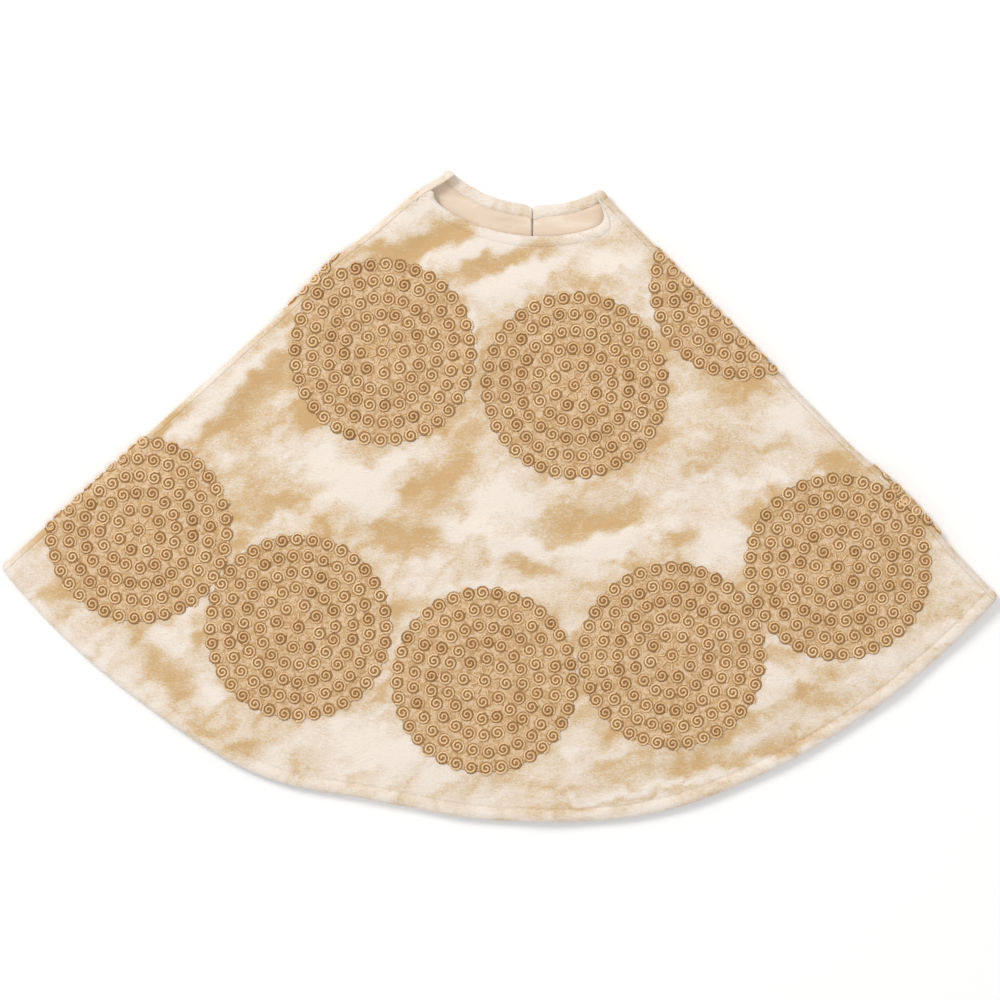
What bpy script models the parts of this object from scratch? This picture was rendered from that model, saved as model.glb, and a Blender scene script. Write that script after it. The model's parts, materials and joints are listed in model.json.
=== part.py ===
"""Tree skirt in crushed velvet with corded medallions, closed and laid flat.

The skirt is cut as a wide ring segment. Closed at its back slit it makes a
cone, and the cone is laid flat: a front layer on top, and under it two back
panels that meet at the slit. Each back panel turns about the fold that it
shares with the front layer, so the skirt opens out like a pair of doors.

Frame: metres, +Z up, hem towards -Y, neck towards +Y, front layer on top. The
skirt lies on its back panels at Z = 0, centred on X = 0 and Y = 0.
"""

from math import asin, atan2, ceil, cos, pi, radians, sin

import bmesh
import bpy
from mathutils import Vector

# Cut of the skirt. Angles run round the cone's tip: 0 is straight towards the
# hem and positive is towards +X. A medallion's angle is counted along the
# cloth, so an angle past a fold is on a back panel.
FOLD_LEFT = radians(-47.8)
FOLD_RIGHT = radians(44.4)
SLIT = 0.0
SLIT_OFFSET = 0.016
HEM_AT_FOLD = 0.597
HEM_DROP = 0.022
NECK_AT_LEFT = 0.086
NECK_AT_RIGHT = 0.108
NECK_FRONT_DIP = 0.024
NECK_BACK_DIP = -0.007

# Layers.
GAP = 0.0003
MEDALLION_THICK = 0.0020
VELVET_THICK = 0.0015
LINING_THICK = 0.0008
INSIDE_GAP = 0.0060

# Sewn edges.
BINDING_WIDTH = 0.009
HEM_FACING_WIDTH = 0.025
HEM_TURN = 0.0015
SLIT_FACING_WIDTH = 0.018
SLIT_CLEARANCE = 0.0004
FOLD_CLEARANCE = 0.0006

# Medallions.
MEDALLION_RADIUS = 0.080
SCALLOPS = 36
SCALLOP_DEPTH = 0.0024
UPPER_ANGLES = (-66.4, -27.6, 12.1, 51.1)
UPPER_RADII = (0.2450, 0.2435, 0.2500, 0.2530)
LOWER_ANGLES = (-79.2, -60.2, -41.2, -22.3, -2.9, 15.9, 34.8, 53.3, 72.6)
LOWER_RADII = (0.490, 0.490, 0.490, 0.489, 0.499, 0.496, 0.488, 0.490, 0.490)

# Ribbon ties, sewn in pairs beside the slit.
TIE_STARTS = (0.118, 0.285, 0.440)
TIE_LENGTH = 0.140
TIE_WIDTH = 0.012
TIE_THICK = 0.0007
TIE_HEIGHT = 0.0010
TIE_FROM_SLIT = 0.012
TIE_SWING = 0.013

# Fineness of the curved outlines.
ARC_STEP = radians(2.0)
FOLD_STEPS = 5
TIE_STEPS = 14

# Heights and insets that follow from the layers.
BACK_VELVET = MEDALLION_THICK + GAP
BACK_LINING = BACK_VELVET + VELVET_THICK + GAP
MIDDLE = BACK_LINING + LINING_THICK + INSIDE_GAP / 2
TOP = 2 * MIDDLE
FOLD_RADIUS = MIDDLE - BACK_VELVET
FLAT_FROM = FOLD_RADIUS + FOLD_CLEARANCE
LINING_FROM = FLAT_FROM + GAP
# Cloth that runs round the fold is this much longer than a sharp crease.
FOLD_TAKE_UP = (pi - 2) * FOLD_RADIUS

CENTRE = (FOLD_LEFT + FOLD_RIGHT) / 2
HALF_ANGLE = (FOLD_RIGHT - FOLD_LEFT) / 2

FRONT = "front"
LEFT = "back_left"
RIGHT = "back_right"


def clear_scene():
    for obj in list(bpy.data.objects):
        bpy.data.objects.remove(obj)


def make_material(name, colour, roughness):
    material = bpy.data.materials.new(name)
    material.use_nodes = True
    shader = material.node_tree.nodes["Principled BSDF"]
    shader.inputs["Base Color"].default_value = (*colour, 1.0)
    shader.inputs["Roughness"].default_value = roughness
    shader.inputs["Metallic"].default_value = 0.0
    return material


def polar(radius, angle, height=0.0):
    """A point at this radius and angle from the cone's tip."""
    return Vector((radius * sin(angle), -radius * cos(angle), height))


def swell(angle):
    """1 at the middle of a layer, 0 at its folds."""
    return max(0.0, cos(pi / 2 * (angle - CENTRE) / HALF_ANGLE))


def hem_curve(inside=0.0):
    """The hem's radius as a function of the angle, or a curve this far inside it."""
    return lambda angle: HEM_AT_FOLD + HEM_DROP * swell(angle) - inside


def neck_curve(body, outside=0.0):
    """The neck's radius as a function of the angle, or a curve this far outside it."""
    dip = NECK_FRONT_DIP if body == FRONT else NECK_BACK_DIP
    slope = (NECK_AT_RIGHT - NECK_AT_LEFT) / (FOLD_RIGHT - FOLD_LEFT)
    return lambda angle: NECK_AT_LEFT + slope * (angle - FOLD_LEFT) + dip * swell(angle) + outside


def side_lines(body):
    """The lines that end a body's layer: the angle, whether it is a fold, and the way in (+1 or -1)."""
    lines = {
        FRONT: ((FOLD_LEFT, True, 1), (FOLD_RIGHT, True, -1)),
        LEFT: ((FOLD_LEFT, True, 1), (SLIT, False, -1)),
        RIGHT: ((SLIT, False, 1), (FOLD_RIGHT, True, -1)),
    }
    return lines[body]


def inset_sides(body, from_fold, from_slit):
    """A body's side lines as angles and offsets, moved in by one distance at a fold and another at the slit."""
    sides = []
    for line, is_fold, inwards in side_lines(body):
        offset = inwards * from_fold if is_fold else SLIT_OFFSET + inwards * from_slit
        sides.append((line, offset))
    return sides


def angle_beside(line, offset, curve):
    """The angle at which a curve passes this far beside a line through the tip."""
    angle = line
    for _ in range(4):
        angle = line + asin(offset / curve(angle))
    return angle


def arc(curve, start, end):
    steps = max(1, ceil(abs(end - start) / ARC_STEP))
    angles = [start + (end - start) * i / steps for i in range(steps + 1)]
    return [polar(curve(angle), angle) for angle in angles]


def sector(inner, outer, left, right):
    """The hem and neck stretches of an outline, between two lines each given as its angle and an offset."""
    outer_ends = [angle_beside(line, offset, outer) for line, offset in (left, right)]
    inner_ends = [angle_beside(line, offset, inner) for line, offset in (right, left)]
    return arc(outer, *outer_ends), arc(inner, *inner_ends)


def add_piece(name, bm, body, material):
    """Makes a piece of a mesh that was built round the cone's tip, and hangs it on its body's empty."""
    mesh = bpy.data.meshes.new(name)
    bm.to_mesh(mesh)
    bm.free()
    parent = bpy.data.objects[body]
    mesh.transform(parent.matrix_world.inverted())
    mesh.materials.append(material)
    obj = bpy.data.objects.new(name, mesh)
    obj.parent = parent
    bpy.context.scene.collection.objects.link(obj)
    return obj


def raise_walls(bm, bottom, thick):
    """Makes a flat face into a plate that stands from bottom to bottom + thick."""
    bmesh.ops.translate(bm, verts=bm.verts[:], vec=(0, 0, bottom))
    raised = bmesh.ops.extrude_face_region(bm, geom=bm.faces[:])["geom"]
    verts = [part for part in raised if isinstance(part, bmesh.types.BMVert)]
    bmesh.ops.translate(bm, verts=verts, vec=(0, 0, thick))
    bmesh.ops.recalc_face_normals(bm, faces=bm.faces[:])


def plate(name, body, outline, bottom, thick, material):
    bm = bmesh.new()
    bm.faces.new([bm.verts.new(point) for point in outline])
    raise_walls(bm, bottom, thick)
    return add_piece(name, bm, body, material)


def lining_height(body):
    return TOP - BACK_LINING - LINING_THICK if body == FRONT else BACK_LINING


def inner_layer(name, body, inner, outer, slit_inset, material):
    """A flat piece on the inner side of the velvet, which stops short of the folds."""
    far, near = sector(inner, outer, *inset_sides(body, LINING_FROM, slit_inset))
    return plate(name, body, far + near, lining_height(body), LINING_THICK, material)


def add_fold(bm, line, inwards, curves, corners, up):
    """Turns a layer's side edge round the fold, in strips, as far as the middle between the layers."""
    edge = corners
    for step in range(FOLD_STEPS - 1, -1, -1):
        turn = pi / 2 * step / FOLD_STEPS
        inset = FOLD_CLEARANCE + FOLD_RADIUS * (1 - cos(turn))
        height = MIDDLE + up * max(FOLD_CLEARANCE, FOLD_RADIUS * sin(turn))
        row = []
        for curve in curves:
            angle = angle_beside(line, inwards * inset, curve)
            row.append(bm.verts.new(polar(curve(angle), angle, height)))
        bm.faces.new((edge[0], edge[1], row[1], row[0]))
        edge = row


def outer_layer(name, body, inner, outer, thick, material):
    """A layer of the skirt's outside, whose side edges turn round the folds."""
    up = 1 if body == FRONT else -1
    sides = inset_sides(body, FLAT_FROM, SLIT_CLEARANCE)
    bm = bmesh.new()
    far, near = (
        [bm.verts.new(point) for point in stretch] for stretch in sector(inner, outer, *sides)
    )
    bmesh.ops.translate(bm, verts=bm.verts[:], vec=(0, 0, MIDDLE + up * FOLD_RADIUS))
    flat = bm.faces.new(far + near)
    corner_pairs = ((near[-1], far[0]), (near[0], far[-1]))
    for (line, is_fold, inwards), corners in zip(side_lines(body), corner_pairs):
        if is_fold:
            add_fold(bm, line, inwards, (inner, outer), corners, up)
    bmesh.ops.recalc_face_normals(bm, faces=bm.faces[:])
    if flat.normal.z * up < 0:
        bmesh.ops.reverse_faces(bm, faces=bm.faces[:])
    obj = add_piece(name, bm, body, material)
    wall = obj.modifiers.new("thickness", "SOLIDIFY")
    wall.thickness = thick
    wall.offset = -1
    wall.use_even_offset = True
    return obj


def body_of(angle):
    if angle < FOLD_LEFT:
        return LEFT
    return RIGHT if angle > FOLD_RIGHT else FRONT


def fold_frame(line):
    """A fold's direction away from the tip, and the direction from it into the layers."""
    inwards = 1 if line == FOLD_LEFT else -1
    across = Vector((cos(line), sin(line), 0.0)) * inwards
    return polar(1.0, line), across


def sewn_place(radius, angle, body, line):
    """A medallion's place along and across a fold, as it is seen on one of the two layers that meet there."""
    along, across = fold_frame(line)
    from_fold = radius * sin(angle - line) * (1 if line == FOLD_LEFT else -1)
    if body != FRONT:
        from_fold = -from_fold - FOLD_TAKE_UP
    return along * radius * cos(angle - line) + across * from_fold, from_fold


def scalloped_disc(centre):
    """A flat disc. Every other point of its edge dips between two swirls of the outermost ring."""
    bm = bmesh.new()
    bmesh.ops.create_circle(
        bm, cap_ends=True, cap_tris=True, segments=2 * SCALLOPS, radius=MEDALLION_RADIUS
    )
    edge = [vert for vert in bm.verts if vert.is_boundary]
    edge.sort(key=lambda vert: atan2(vert.co.y, vert.co.x))
    for vert in edge[::2]:
        vert.co *= 1 - SCALLOP_DEPTH / MEDALLION_RADIUS
    bmesh.ops.translate(bm, verts=bm.verts[:], vec=centre)
    return bm


def add_medallion(name, body, centre, material):
    """The part of a medallion that lies on one layer, cut off where the layer starts to turn."""
    bm = scalloped_disc(centre)
    for line, is_fold, _ in side_lines(body):
        if is_fold:
            across = fold_frame(line)[1]
            bmesh.ops.bisect_plane(
                bm,
                geom=bm.verts[:] + bm.edges[:] + bm.faces[:],
                plane_co=across * LINING_FROM,
                plane_no=across,
                clear_inner=True,
            )
    bottom = TOP - MEDALLION_THICK if body == FRONT else 0.0
    raise_walls(bm, bottom, MEDALLION_THICK)
    return add_piece(name, bm, body, material)


def add_medallion_row(row, angles, radii, material):
    """A row of medallions. One that crosses a fold has a second part on the layer beyond it."""
    for number, (degrees, radius) in enumerate(zip(angles, radii), 1):
        angle = radians(degrees)
        body = body_of(angle)
        name = f"medallion_{row}_{number}"
        near_line = FOLD_LEFT if angle < CENTRE else FOLD_RIGHT
        centre, _ = sewn_place(radius, angle, body, near_line)
        add_medallion(name, body, centre, material)
        beyond = LEFT if near_line == FOLD_LEFT else RIGHT
        other = FRONT if body == beyond else beyond
        centre, from_fold = sewn_place(radius, angle, other, near_line)
        if from_fold + MEDALLION_RADIUS > LINING_FROM + SCALLOP_DEPTH:
            add_medallion(name + "_wrap", other, centre, material)


def tie_outline(start, side):
    """A ribbon that leaves the slit's edge and runs towards the hem in one lazy bend."""
    middle = []
    for i in range(TIE_STEPS + 1):
        share = i / TIE_STEPS
        away = TIE_FROM_SLIT + TIE_SWING * (1 - cos(2 * pi * share)) / 2
        across = SLIT_OFFSET + side * away
        middle.append(Vector((across, -start - TIE_LENGTH * share, 0.0)))
    one_edge, other_edge = [], []
    for i, point in enumerate(middle):
        run = middle[min(TIE_STEPS, i + 1)] - middle[max(0, i - 1)]
        sideways = Vector((-run.y, run.x, 0.0)).normalized() * TIE_WIDTH / 2
        one_edge.append(point + sideways)
        other_edge.append(point - sideways)
    return one_edge + other_edge[::-1]


def add_layers(side, body, velvet, satin):
    """The velvet, lining, hem facing and neck binding of one body."""
    facing_inside = HEM_TURN + HEM_FACING_WIDTH
    lining_from_slit = SLIT_CLEARANCE + SLIT_FACING_WIDTH + GAP
    panel_top = neck_curve(body, BINDING_WIDTH + GAP)
    lining_foot = hem_curve(facing_inside + GAP)
    facing_top = hem_curve(facing_inside)
    binding_thick = VELVET_THICK + GAP + LINING_THICK
    binding = neck_curve(body), neck_curve(body, BINDING_WIDTH)
    outer_layer(f"velvet_{side}", body, panel_top, hem_curve(), VELVET_THICK, velvet)
    outer_layer(f"neck_binding_{side}", body, *binding, binding_thick, velvet)
    inner_layer(f"lining_{side}", body, panel_top, lining_foot, lining_from_slit, satin)
    inner_layer(f"hem_facing_{side}", body, facing_top, hem_curve(HEM_TURN), SLIT_CLEARANCE, velvet)


def add_slit(side, body, velvet, ribbon):
    """The facing of one slit edge, and the ribbons sewn to that edge."""
    outwards = -1 if body == LEFT else 1
    near, away = SLIT_CLEARANCE, SLIT_CLEARANCE + SLIT_FACING_WIDTH
    offsets = sorted((SLIT_OFFSET + outwards * near, SLIT_OFFSET + outwards * away))
    foot = hem_curve(HEM_TURN + HEM_FACING_WIDTH + GAP)
    sides = [(SLIT, offset) for offset in offsets]
    far, top = sector(neck_curve(body, BINDING_WIDTH + GAP), foot, *sides)
    plate(f"slit_facing_{side}", body, far + top, BACK_LINING, LINING_THICK, velvet)
    for i, start in enumerate(TIE_STARTS):
        outline = tie_outline(start, outwards)
        plate(f"ribbon_tie_{side}_{i + 1}", body, outline, TIE_HEIGHT, TIE_THICK, ribbon)


def add_body(name, line=None):
    """An empty for a body. A back panel's empty is on its fold, with its Y axis along the fold."""
    empty = bpy.data.objects.new(name, None)
    bpy.context.scene.collection.objects.link(empty)
    if line is not None:
        empty.location = polar(HEM_AT_FOLD / 2, line, MIDDLE)
        empty.rotation_euler.z = line
        empty.parent = bpy.data.objects[FRONT]
    bpy.context.view_layer.update()


def centre_skirt():
    """Moves the whole skirt so that its box is centred on the origin."""
    bpy.context.view_layer.update()
    points = [
        obj.matrix_world @ vert.co
        for obj in bpy.data.objects
        if obj.type == "MESH"
        for vert in obj.data.vertices
    ]
    front = bpy.data.objects[FRONT]
    for axis in (0, 1):
        values = [point[axis] for point in points]
        front.location[axis] -= (min(values) + max(values)) / 2


clear_scene()
crushed_velvet = make_material("crushed_velvet", (0.66, 0.53, 0.40), 0.62)
lining_satin = make_material("lining_satin", (0.72, 0.60, 0.47), 0.45)
gold_cord = make_material("gold_cord", (0.56, 0.40, 0.23), 0.55)
ribbon_satin = make_material("ribbon_satin", (0.75, 0.62, 0.47), 0.35)

add_body(FRONT)
add_body(LEFT, FOLD_LEFT)
add_body(RIGHT, FOLD_RIGHT)
for side_name, body_name in (("front", FRONT), ("back_left", LEFT), ("back_right", RIGHT)):
    add_layers(side_name, body_name, crushed_velvet, lining_satin)
add_slit("left", LEFT, crushed_velvet, ribbon_satin)
add_slit("right", RIGHT, crushed_velvet, ribbon_satin)
add_medallion_row("upper", UPPER_ANGLES, UPPER_RADII, gold_cord)
add_medallion_row("lower", LOWER_ANGLES, LOWER_RADII, gold_cord)
centre_skirt()
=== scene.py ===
import json
import math
import random

import bmesh
import bpy
import numpy as np
from mathutils import Matrix, Vector


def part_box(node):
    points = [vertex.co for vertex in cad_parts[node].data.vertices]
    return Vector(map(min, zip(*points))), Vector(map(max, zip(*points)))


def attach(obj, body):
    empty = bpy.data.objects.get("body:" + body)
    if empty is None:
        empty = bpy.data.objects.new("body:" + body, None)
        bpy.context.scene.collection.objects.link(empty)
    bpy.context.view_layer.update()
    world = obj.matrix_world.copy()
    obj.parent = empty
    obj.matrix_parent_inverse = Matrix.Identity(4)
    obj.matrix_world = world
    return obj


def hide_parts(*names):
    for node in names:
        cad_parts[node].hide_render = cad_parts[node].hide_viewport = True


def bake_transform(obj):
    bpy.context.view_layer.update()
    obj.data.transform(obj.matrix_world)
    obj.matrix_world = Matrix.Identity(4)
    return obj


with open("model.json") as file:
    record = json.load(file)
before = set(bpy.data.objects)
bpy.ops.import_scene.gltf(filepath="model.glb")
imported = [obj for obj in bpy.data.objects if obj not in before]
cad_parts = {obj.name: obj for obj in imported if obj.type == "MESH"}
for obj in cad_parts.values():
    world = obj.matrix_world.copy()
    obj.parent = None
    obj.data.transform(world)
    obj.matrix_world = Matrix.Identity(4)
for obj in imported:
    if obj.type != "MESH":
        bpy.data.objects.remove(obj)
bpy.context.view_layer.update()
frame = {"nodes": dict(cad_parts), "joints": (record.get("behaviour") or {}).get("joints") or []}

# The studio: a camera high above the middle of the skirt, a near-white floor that the skirt lies on,
# and two big soft lights, one to the upper left and one overhead, with white surroundings.
MM = 0.001
CAMERA_ABOVE = 3.0
LENS = 125.0
PICTURE_MIDDLE = (0.3 * MM, -4.5 * MM)
FLOOR_WHITE = (0.97, 0.97, 0.97, 1.0)
FLOOR_REACH = 4.0

scene = bpy.context.scene
scene.view_settings.view_transform = "Standard"

camera = bpy.data.objects.new("camera", bpy.data.cameras.new("camera"))
camera.data.lens = LENS
camera.location = (*PICTURE_MIDDLE, CAMERA_ABOVE)
scene.collection.objects.link(camera)
scene.camera = camera


def soft_light(name, place, size, watts, colour):
    light = bpy.data.lights.new(name, "AREA")
    light.shape = "DISK"
    light.size = size
    light.energy = watts
    light.color = colour
    obj = bpy.data.objects.new(name, light)
    obj.location = place
    obj.rotation_euler = Vector(place).to_track_quat("Z", "Y").to_euler()
    scene.collection.objects.link(obj)


soft_light("light_upper_left", (-2.6, 2.6, 3.8), 2.0, 126.0, (1.0, 0.99, 0.975))
soft_light("light_overhead", (0.9, -0.9, 4.6), 3.0, 42.0, (1.0, 1.0, 1.0))

world = bpy.data.worlds.new("white_room")
world.use_nodes = True
world.node_tree.nodes["Background"].inputs["Color"].default_value = (1.0, 1.0, 1.0, 1.0)
world.node_tree.nodes["Background"].inputs["Strength"].default_value = 0.60
scene.world = world


def new_material(name, roughness, sheen=0.0, sheen_roughness=0.4, specular=0.5):
    """A material whose constant values sit on the shader's own sockets."""
    material = bpy.data.materials.new(name)
    material.use_nodes = True
    shader = material.node_tree.nodes["Principled BSDF"]
    shader.inputs["Roughness"].default_value = roughness
    shader.inputs["Sheen Weight"].default_value = sheen
    shader.inputs["Sheen Roughness"].default_value = sheen_roughness
    shader.inputs["Specular IOR Level"].default_value = specular
    return material, material.node_tree.nodes, material.node_tree.links, shader


floor_paint, _, _, floor_shader = new_material("floor_paint", 0.9, specular=0.1)
floor_shader.inputs["Base Color"].default_value = FLOOR_WHITE
bm = bmesh.new()
bmesh.ops.create_grid(bm, x_segments=1, y_segments=1, size=FLOOR_REACH)
floor_mesh = bpy.data.meshes.new("floor")
bm.to_mesh(floor_mesh)
bm.free()
floor_mesh.materials.append(floor_paint)
floor = bpy.data.objects.new("floor", floor_mesh)
scene.collection.objects.link(floor)

# How the skirt lies: a cone of cloth, laid flat in a front and a back layer that meet at two folds.
# Every piece is drawn on the flat cone, as its radius and angle from the cone's tip, and laid from there:
# the cloth rolls round each fold on one radius, and both folds run through the tip.
joints = {joint["child"]: joint for joint in frame["joints"]}
MIDDLE = joints["back_left"]["pos_m"][2]
FOLD_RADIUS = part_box("velvet_front")[1].z - MIDDLE
FOLD_BULGES = {
    "back_left": ((210 * MM, 34 * MM, 4 * MM), (80 * MM, 26 * MM, -7 * MM)),
    "back_right": ((480 * MM, 43 * MM, 5 * MM),),
}


def fold_facts(body):
    """A fold's direction away from the tip, the direction from it into the layers, and its angle."""
    axis = np.array(joints[body]["axis"][:2])
    along = axis if axis[1] < 0 else -axis
    inwards = 1 if body == "back_left" else -1
    across = np.array((-along[1], along[0])) * inwards
    return {
        "body": body,
        "along": along,
        "across": across,
        "inwards": inwards,
        "place": np.array(joints[body]["pos_m"][:2]),
        "angle": math.atan2(along[0], -along[1]),
    }


LEFT = fold_facts("back_left")
RIGHT = fold_facts("back_right")
steps_to_tip = np.linalg.solve(
    np.column_stack((LEFT["along"], -RIGHT["along"])), RIGHT["place"] - LEFT["place"]
)
TIP = LEFT["place"] + LEFT["along"] * steps_to_tip[0]
CENTRE = (LEFT["angle"] + RIGHT["angle"]) / 2
HALF_ANGLE = (RIGHT["angle"] - LEFT["angle"]) / 2


def polar(radius, angle):
    """Points of the flat cone, as seen from above with its tip where the folds meet."""
    return np.stack((TIP[0] + radius * np.sin(angle), TIP[1] - radius * np.cos(angle)), axis=-1)


def smooth(value):
    value = np.clip(value, 0, 1)
    return value * value * (3 - 2 * value)


def bump(value, middle, width):
    return np.exp(-(((value - middle) / width) ** 2))


def bulge(fold, run):
    """How far a fold stands out past its straight line, this far from the tip."""
    return sum(height * bump(run, at, width) for at, width, height in FOLD_BULGES[fold["body"]])


def lay(flat, height, layer=1):
    """Lays points of the flat cone. Height is off the outer face, and layer is -1 on the back's own plan."""
    place = flat.copy()
    up = FOLD_RADIUS + height
    for fold in (LEFT, RIGHT):
        from_tip = flat - TIP
        inset = from_tip @ fold["across"]
        edge = FOLD_RADIUS - bulge(fold, from_tip @ fold["along"])
        turn = np.maximum((edge - inset) / FOLD_RADIUS, 0)
        rolled = np.minimum(turn, math.pi)
        new_inset = edge - (FOLD_RADIUS + height) * np.sin(rolled) + (turn - rolled) * FOLD_RADIUS
        moved = np.where(turn > 0, new_inset - inset, 0)
        place += moved[..., None] * fold["across"]
        up = np.where(turn > 0, (FOLD_RADIUS + height) * np.cos(rolled), up)
    return np.concatenate((place, (MIDDLE + layer * up)[..., None]), axis=-1)


# The velvet shell: crushed velvet, cut as one curved band and sewn into a cone. Its front lies in low soft
# swells, it droops to the hem and the neck, and the hem is turned up and stitched 11 mm from its edge.
HEM_AT_FOLD = 597 * MM
HEM_DROP = 22 * MM
HEM_WAVES = ((-21, 7, 6), (-11, 6, -5), (11, 8, 7), (22, 10, 3))
HEM_BACK_SHORTER = 4 * MM
NECK_AT_LEFT = 81 * MM
NECK_AT_RIGHT = 107 * MM
NECK_FRONT_DIP = (20.5 * MM, 10 * MM)
NECK_BACK_DIP = -7 * MM
NECK_CORNER = 0.925
SLIT_NOTCH = 3 * MM
SLIT_NOTCH_AT = (10.2, 2.2)
SLIT_OFFSET = 16 * MM
VELVET_THICK = 1.2 * MM
SWELL_COUNT = 16
SWELL_HEIGHT = 0.75 * MM
SWELL_LENGTHS = (60 * MM, 150 * MM)
EDGE_DROOP = (3 * MM, 70 * MM)
LOWEST_RISE = -3.6 * MM
HIGHEST_RISE = 4 * MM
FLAT_AT_FOLD = 35 * MM
RIDGES = (
    (-110, 105, 95, 9, -40, 2.2), (-65, 118, 50, 10, -25, -1.8), (0, 160, 50, 8, -14, 1.8),
    (-15, 140, 40, 8, -12, -1.4), (-245, 245, 60, 9, -44, 2.0), (-225, 262, 50, 14, -40, -1.5),
    (95, 140, 30, 9, -20, 1.4), (-138, 329, 46, 15, 35, 1.8), (-6, 333, 34, 16, 0, 1.4),
    (-8, 378, 60, 9, 15, 2.0), (63, 361, 50, 10, -16, -1.6), (84, 379, 42, 8, -15, 1.5),
    (-95, 374, 38, 11, 5, -1.6), (-75, 328, 44, 12, -38, -1.4), (15, 421, 34, 3.5, 48, -1.0),
    (-100, 562, 80, 18, 8, 1.6), (330, 475, 55, 9, -30, 1.5), (350, 460, 55, 6, -35, -1.2),
    (-37, 205, 7, 40, 0, 1.4), (-290, 470, 22, 14, 40, 1.2), (190, 565, 90, 12, -12, -1.0),
    (120, 592, 60, 8, -12, 1.0), (240, 455, 30, 22, 0, 1.2),
)


def swell(angle):
    """1 at the middle of a layer, 0 at its folds."""
    return np.cos(math.pi / 2 * np.clip((angle - CENTRE) / HALF_ANGLE, -1, 1))


def hem_edge(angle, layer):
    edge = HEM_AT_FOLD + HEM_DROP * swell(angle)
    if layer < 0:
        return edge - HEM_BACK_SHORTER * swell(angle)
    return edge + sum(
        height * MM * bump(np.degrees(angle), at, width) for at, width, height in HEM_WAVES
    )


def neck_edge(angle, layer):
    slope = (NECK_AT_RIGHT - NECK_AT_LEFT) / (2 * HALF_ANGLE)
    plain = NECK_AT_LEFT + slope * (np.clip(angle, LEFT["angle"], RIGHT["angle"]) - LEFT["angle"])
    if layer < 0:
        notch = SLIT_NOTCH * bump(np.degrees(angle), *SLIT_NOTCH_AT)
        return plain + NECK_BACK_DIP * swell(angle) + notch
    share = np.abs(angle - CENTRE) / HALF_ANGLE
    dip = NECK_FRONT_DIP[0] + NECK_FRONT_DIP[1] * share**2
    return plain + dip * (1 - np.clip(share / NECK_CORNER, 0, 1) ** 20)


def stroke(flat, x, y, half_length, half_width, degrees):
    """A soft-edged oval patch, x to the right of the tip and y towards the hem, tipped down to the right."""
    along = math.radians(degrees)
    east = (flat[..., 0] - TIP[0]) / MM - x
    south = (TIP[1] - flat[..., 1]) / MM - y
    run = east * math.cos(along) + south * math.sin(along)
    off = south * math.cos(along) - east * math.sin(along)
    return np.exp(-((run / half_length) ** 2) - (off / half_width) ** 2)


def waves(flat, count, shortest, longest, seed, across=0.0, spread=math.pi):
    """A smooth random field of about -1 to 1, made of plain waves that run across one line, or all ways."""
    draw = random.Random(seed)
    total = np.zeros(flat.shape[:-1])
    for _ in range(count):
        direction = across + draw.uniform(-spread, spread)
        number = 2 * math.pi / draw.uniform(shortest, longest)
        run = flat[..., 0] * math.cos(direction) + flat[..., 1] * math.sin(direction)
        total += np.sin(number * run + draw.uniform(0, 2 * math.pi))
    return total / math.sqrt(count / 2)


def relief(flat):
    """How far the front layer stands above its plain level. It is plain at the folds."""
    from_tip = flat - TIP
    radius = np.hypot(from_tip[..., 0], from_tip[..., 1])
    angle = np.arctan2(from_tip[..., 0], -from_tip[..., 1])
    rise = SWELL_HEIGHT * waves(flat, SWELL_COUNT, *SWELL_LENGTHS, 7)
    for *patch, height in RIDGES:
        rise = rise + height * MM * stroke(flat, *patch)
    to_edge = np.minimum(hem_edge(angle, 1) - radius, radius - neck_edge(angle, 1))
    rise = rise - EDGE_DROOP[0] * smooth(1 - to_edge / EDGE_DROOP[1])
    rise = np.clip(rise, LOWEST_RISE, HIGHEST_RISE)
    for fold in (LEFT, RIGHT):
        rise = rise * smooth((from_tip @ fold["across"] - FOLD_RADIUS) / FLAT_AT_FOLD)
    return rise


HEM_PROFILE = (
    (0, -2.6), (0.8, -1.2), (2, -0.1), (4, 0.7), (7, 0.8), (9.5, 0.1), (11, -0.8), (12.5, -0.1), (15, 0),
)
NECK_PROFILE = ((0, -1.0), (1.5, -0.2), (4, 0.0), (12, 0.0))


def fold_cut(fold, layer):
    """Where a layer's cloth ends beside a fold: the front where the roll starts, the back past the roll."""
    roll = 0.0 if layer > 0 else math.pi * FOLD_RADIUS

    def offset(radius):
        return fold["inwards"] * (FOLD_RADIUS - bulge(fold, radius) - roll)

    return fold["angle"], offset


def slit_cut(gap):
    """A line beside the slit, which runs straight down the back from the neck to the hem."""
    return 0.0, lambda radius: np.full_like(radius, SLIT_OFFSET + gap)


SLIT_GAP = 0.3 * MM
SIDES = {
    "front": (1, fold_cut(LEFT, 1), fold_cut(RIGHT, 1)),
    "back_left": (-1, fold_cut(LEFT, -1), slit_cut(-SLIT_GAP)),
    "back_right": (-1, slit_cut(SLIT_GAP), fold_cut(RIGHT, -1)),
}
ROLL_COLUMNS = 14
ROLL_WIDTH = 20 * MM


def panel_points(sides, rows, columns):
    """A net of points of the flat cone between two cuts. A row is a function of the angle."""
    layer, left, right = sides
    number = np.arange(columns)
    last = columns - 1
    edge_share = np.interp(number, (0, ROLL_COLUMNS, last - ROLL_COLUMNS, last), (0, 1, 1, 2))
    inner_share = np.interp(number, (ROLL_COLUMNS, last - ROLL_COLUMNS), (0, 1))
    angle = np.tile(np.linspace(left[0], right[0], columns), (len(rows), 1))
    for _ in range(6):
        radius = np.array([row(line) for row, line in zip(rows, angle)])
        start = left[0] + np.arcsin(left[1](radius) / radius)
        end = right[0] + np.arcsin(right[1](radius) / radius)
        length = radius * (end - start)
        margin = np.minimum(ROLL_WIDTH, length / 4)
        angle = start + (margin * edge_share + (length - 2 * margin) * inner_share) / radius
    return polar(radius, angle)


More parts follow.
